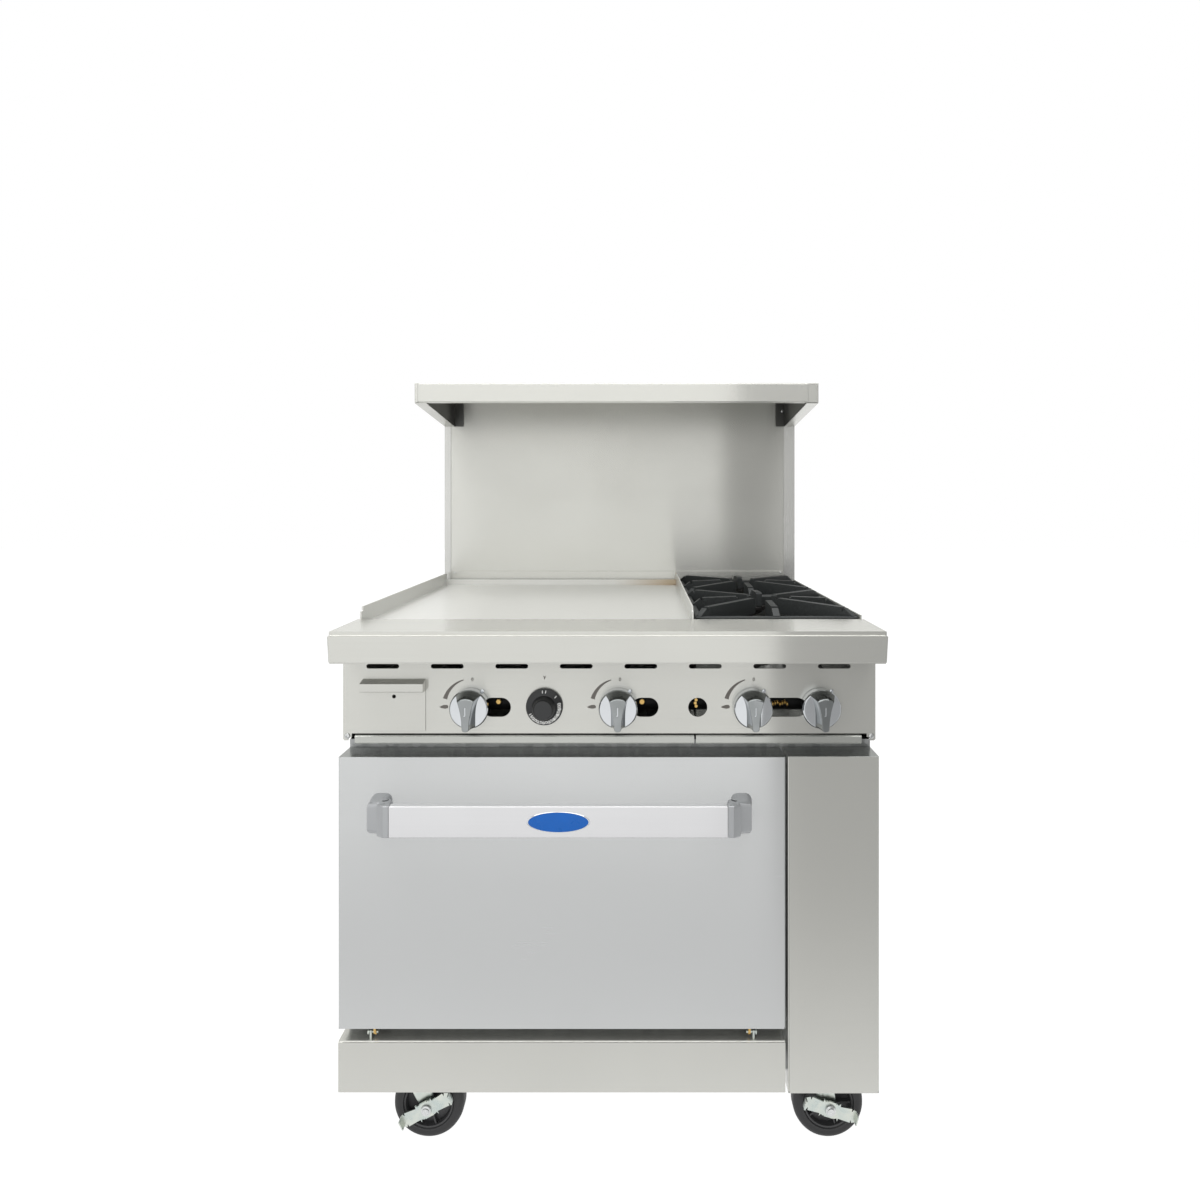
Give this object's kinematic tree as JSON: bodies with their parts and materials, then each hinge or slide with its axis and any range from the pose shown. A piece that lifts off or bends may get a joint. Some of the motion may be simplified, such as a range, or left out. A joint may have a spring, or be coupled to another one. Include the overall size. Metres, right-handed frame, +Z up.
{
  "type": "commercial gas range",
  "caption": "Freestanding restaurant gas range on casters: flat griddle and open burners with cast-iron grates above a drop-door oven, with a backguard and high shelf.",
  "frame": {"origin": "centre of the overall bounding box, on the floor under the wheels", "axes": "+Z up, +X to the cook's right, the door and controls face -Y"},
  "size_m": [0.9144, 0.7954, 1.418],
  "materials": {
    "stainless": "satin",
    "door_steel": "satin",
    "galvanised": "matte",
    "oven_enamel": "gloss",
    "griddle_steel": "satin",
    "cast_iron": "matte",
    "aluminium": "satin",
    "chrome": "polished",
    "brass": "satin",
    "zinc": "satin",
    "black_pipe": "matte",
    "black_plastic": "satin",
    "wheel_rubber": "matte"
  },
  "bodies": {
    "range": {"base_frame": "galvanised", "left_side_panel": "stainless", "right_side_panel": "stainless", "rear_panel": "galvanised", "kick_plate": "stainless", "service_panel": "stainless", "oven_front_frame": "galvanised", "service_divider": "galvanised", "oven_left_wall": "oven_enamel", "oven_right_wall": "oven_enamel", "oven_ceiling": "oven_enamel", "oven_rear_wall": "oven_enamel", "oven_deck": "oven_enamel", "oven_burner": "cast_iron", "control_panel": "stainless", "front_ledge": "stainless", "griddle_plate": "griddle_steel", "griddle_splash": "griddle_steel", "grease_trough": "griddle_steel", "griddle_burner_left": "cast_iron", "griddle_burner_right": "cast_iron", "front_burner": "cast_iron", "rear_burner": "cast_iron", "burner_divider": "galvanised", "gas_manifold": "black_pipe", "griddle_valve_left": "brass", "griddle_valve_right": "brass", "front_burner_valve": "brass", "rear_burner_valve": "brass", "oven_thermostat": "zinc", "right_side_rail": "stainless", "backguard_panel": "stainless", "flue_riser": "stainless", "shelf": "stainless", "shelf_bracket_left": "stainless", "shelf_bracket_right": "stainless"},
    "oven_door": {"door_outer_panel": "door_steel", "door_inner_panel": "galvanised", "door_handle": "aluminium"},
    "griddle_knob_left": {"griddle_knob_left": "chrome"},
    "griddle_knob_right": {"griddle_knob_right": "chrome"},
    "front_burner_knob": {"front_burner_knob": "chrome"},
    "rear_burner_knob": {"rear_burner_knob": "chrome"},
    "oven_dial": {"oven_dial": "black_plastic"},
    "grease_drawer": {"grease_drawer": "stainless"},
    "crumb_tray_left": {"crumb_tray_left": "galvanised"},
    "crumb_tray_right": {"crumb_tray_right": "galvanised"},
    "oven_rack": {"oven_rack": "chrome"},
    "front_grate": {"front_grate": "cast_iron"},
    "rear_grate": {"rear_grate": "cast_iron"},
    "front_left_caster": {"front_left_caster_fork": "zinc"},
    "front_right_caster": {"front_right_caster_fork": "zinc"},
    "rear_left_caster": {"rear_left_caster_fork": "zinc"},
    "rear_right_caster": {"rear_right_caster_fork": "zinc"},
    "front_left_wheel": {"front_left_caster_wheel": "wheel_rubber"},
    "front_right_wheel": {"front_right_caster_wheel": "wheel_rubber"},
    "rear_left_wheel": {"rear_left_caster_wheel": "wheel_rubber"},
    "rear_right_wheel": {"rear_right_caster_wheel": "wheel_rubber"},
    "left_brake": {"left_brake_lever": "zinc"},
    "right_brake": {"right_brake_lever": "zinc"}
  },
  "joints": [
    {"name": "door_hinge", "type": "hinge", "parent": "range", "child": "oven_door", "pos_m": [-0.07935, -0.3357, 0.25], "axis": [1, 0, 0], "range_deg": [0, 90]},
    {"name": "griddle_knob_left_turn", "type": "hinge", "parent": "range", "child": "griddle_knob_left", "pos_m": [-0.2378, -0.3262, 0.8], "axis": [0, -1, 0], "range_deg": [0, 90]},
    {"name": "griddle_knob_right_turn", "type": "hinge", "parent": "range", "child": "griddle_knob_right", "pos_m": [0.0157, -0.3262, 0.8], "axis": [0, -1, 0], "range_deg": [0, 90]},
    {"name": "front_burner_knob_turn", "type": "hinge", "parent": "range", "child": "front_burner_knob", "pos_m": [0.2455, -0.3262, 0.8], "axis": [0, -1, 0], "range_deg": [0, 90]},
    {"name": "rear_burner_knob_turn", "type": "hinge", "parent": "range", "child": "rear_burner_knob", "pos_m": [0.3615, -0.3262, 0.8], "axis": [0, -1, 0], "range_deg": [0, 90]},
    {"name": "oven_dial_turn", "type": "hinge", "parent": "range", "child": "oven_dial", "pos_m": [-0.111, -0.3262, 0.801], "axis": [0, -1, 0], "range_deg": [0, 280]},
    {"name": "grease_drawer_slide", "type": "slide", "parent": "range", "child": "grease_drawer", "axis": [0, -1, 0], "range_m": [0, 0.3]},
    {"name": "crumb_tray_left_slide", "type": "slide", "parent": "range", "child": "crumb_tray_left", "axis": [0, -1, 0], "range_m": [0, 0.5]},
    {"name": "crumb_tray_right_slide", "type": "slide", "parent": "range", "child": "crumb_tray_right", "axis": [0, -1, 0], "range_m": [0, 0.5]},
    {"name": "oven_rack_slide", "type": "slide", "parent": "range", "child": "oven_rack", "axis": [0, -1, 0], "range_m": [0, 0.015]},
    {"name": "front_grate_lift", "type": "slide", "parent": "range", "child": "front_grate", "axis": [0, 0, 1], "range_m": [0, 0.12]},
    {"name": "rear_grate_lift", "type": "slide", "parent": "range", "child": "rear_grate", "axis": [0, 0, 1], "range_m": [0, 0.12]},
    {"name": "front_left_caster_swivel", "type": "hinge", "parent": "range", "child": "front_left_caster", "pos_m": [-0.3615, -0.2467, 0.14], "axis": [0, 0, 1], "continuous": true},
    {"name": "front_right_caster_swivel", "type": "hinge", "parent": "range", "child": "front_right_caster", "pos_m": [0.3615, -0.2467, 0.14], "axis": [0, 0, 1], "continuous": true},
    {"name": "rear_left_caster_swivel", "type": "hinge", "parent": "range", "child": "rear_left_caster", "pos_m": [-0.3615, 0.3003, 0.14], "axis": [0, 0, 1], "continuous": true},
    {"name": "rear_right_caster_swivel", "type": "hinge", "parent": "range", "child": "rear_right_caster", "pos_m": [0.3615, 0.3003, 0.14], "axis": [0, 0, 1], "continuous": true},
    {"name": "front_left_wheel_roll", "type": "hinge", "parent": "front_left_caster", "child": "front_left_wheel", "pos_m": [-0.3295, -0.2467, 0.0635], "axis": [0, 1, 0], "continuous": true},
    {"name": "front_right_wheel_roll", "type": "hinge", "parent": "front_right_caster", "child": "front_right_wheel", "pos_m": [0.3935, -0.2467, 0.0635], "axis": [0, 1, 0], "continuous": true},
    {"name": "rear_left_wheel_roll", "type": "hinge", "parent": "rear_left_caster", "child": "rear_left_wheel", "pos_m": [-0.3295, 0.3003, 0.0635], "axis": [0, 1, 0], "continuous": true},
    {"name": "rear_right_wheel_roll", "type": "hinge", "parent": "rear_right_caster", "child": "rear_right_wheel", "pos_m": [0.3935, 0.3003, 0.0635], "axis": [0, 1, 0], "continuous": true},
    {"name": "left_brake_press", "type": "hinge", "parent": "front_left_caster", "child": "left_brake", "pos_m": [-0.3295, -0.2467, 0.0635], "axis": [0, -1, 0], "range_deg": [-45, 0]},
    {"name": "right_brake_press", "type": "hinge", "parent": "front_right_caster", "child": "right_brake", "pos_m": [0.3935, -0.2467, 0.0635], "axis": [0, -1, 0], "range_deg": [0, 45]}
  ]
}
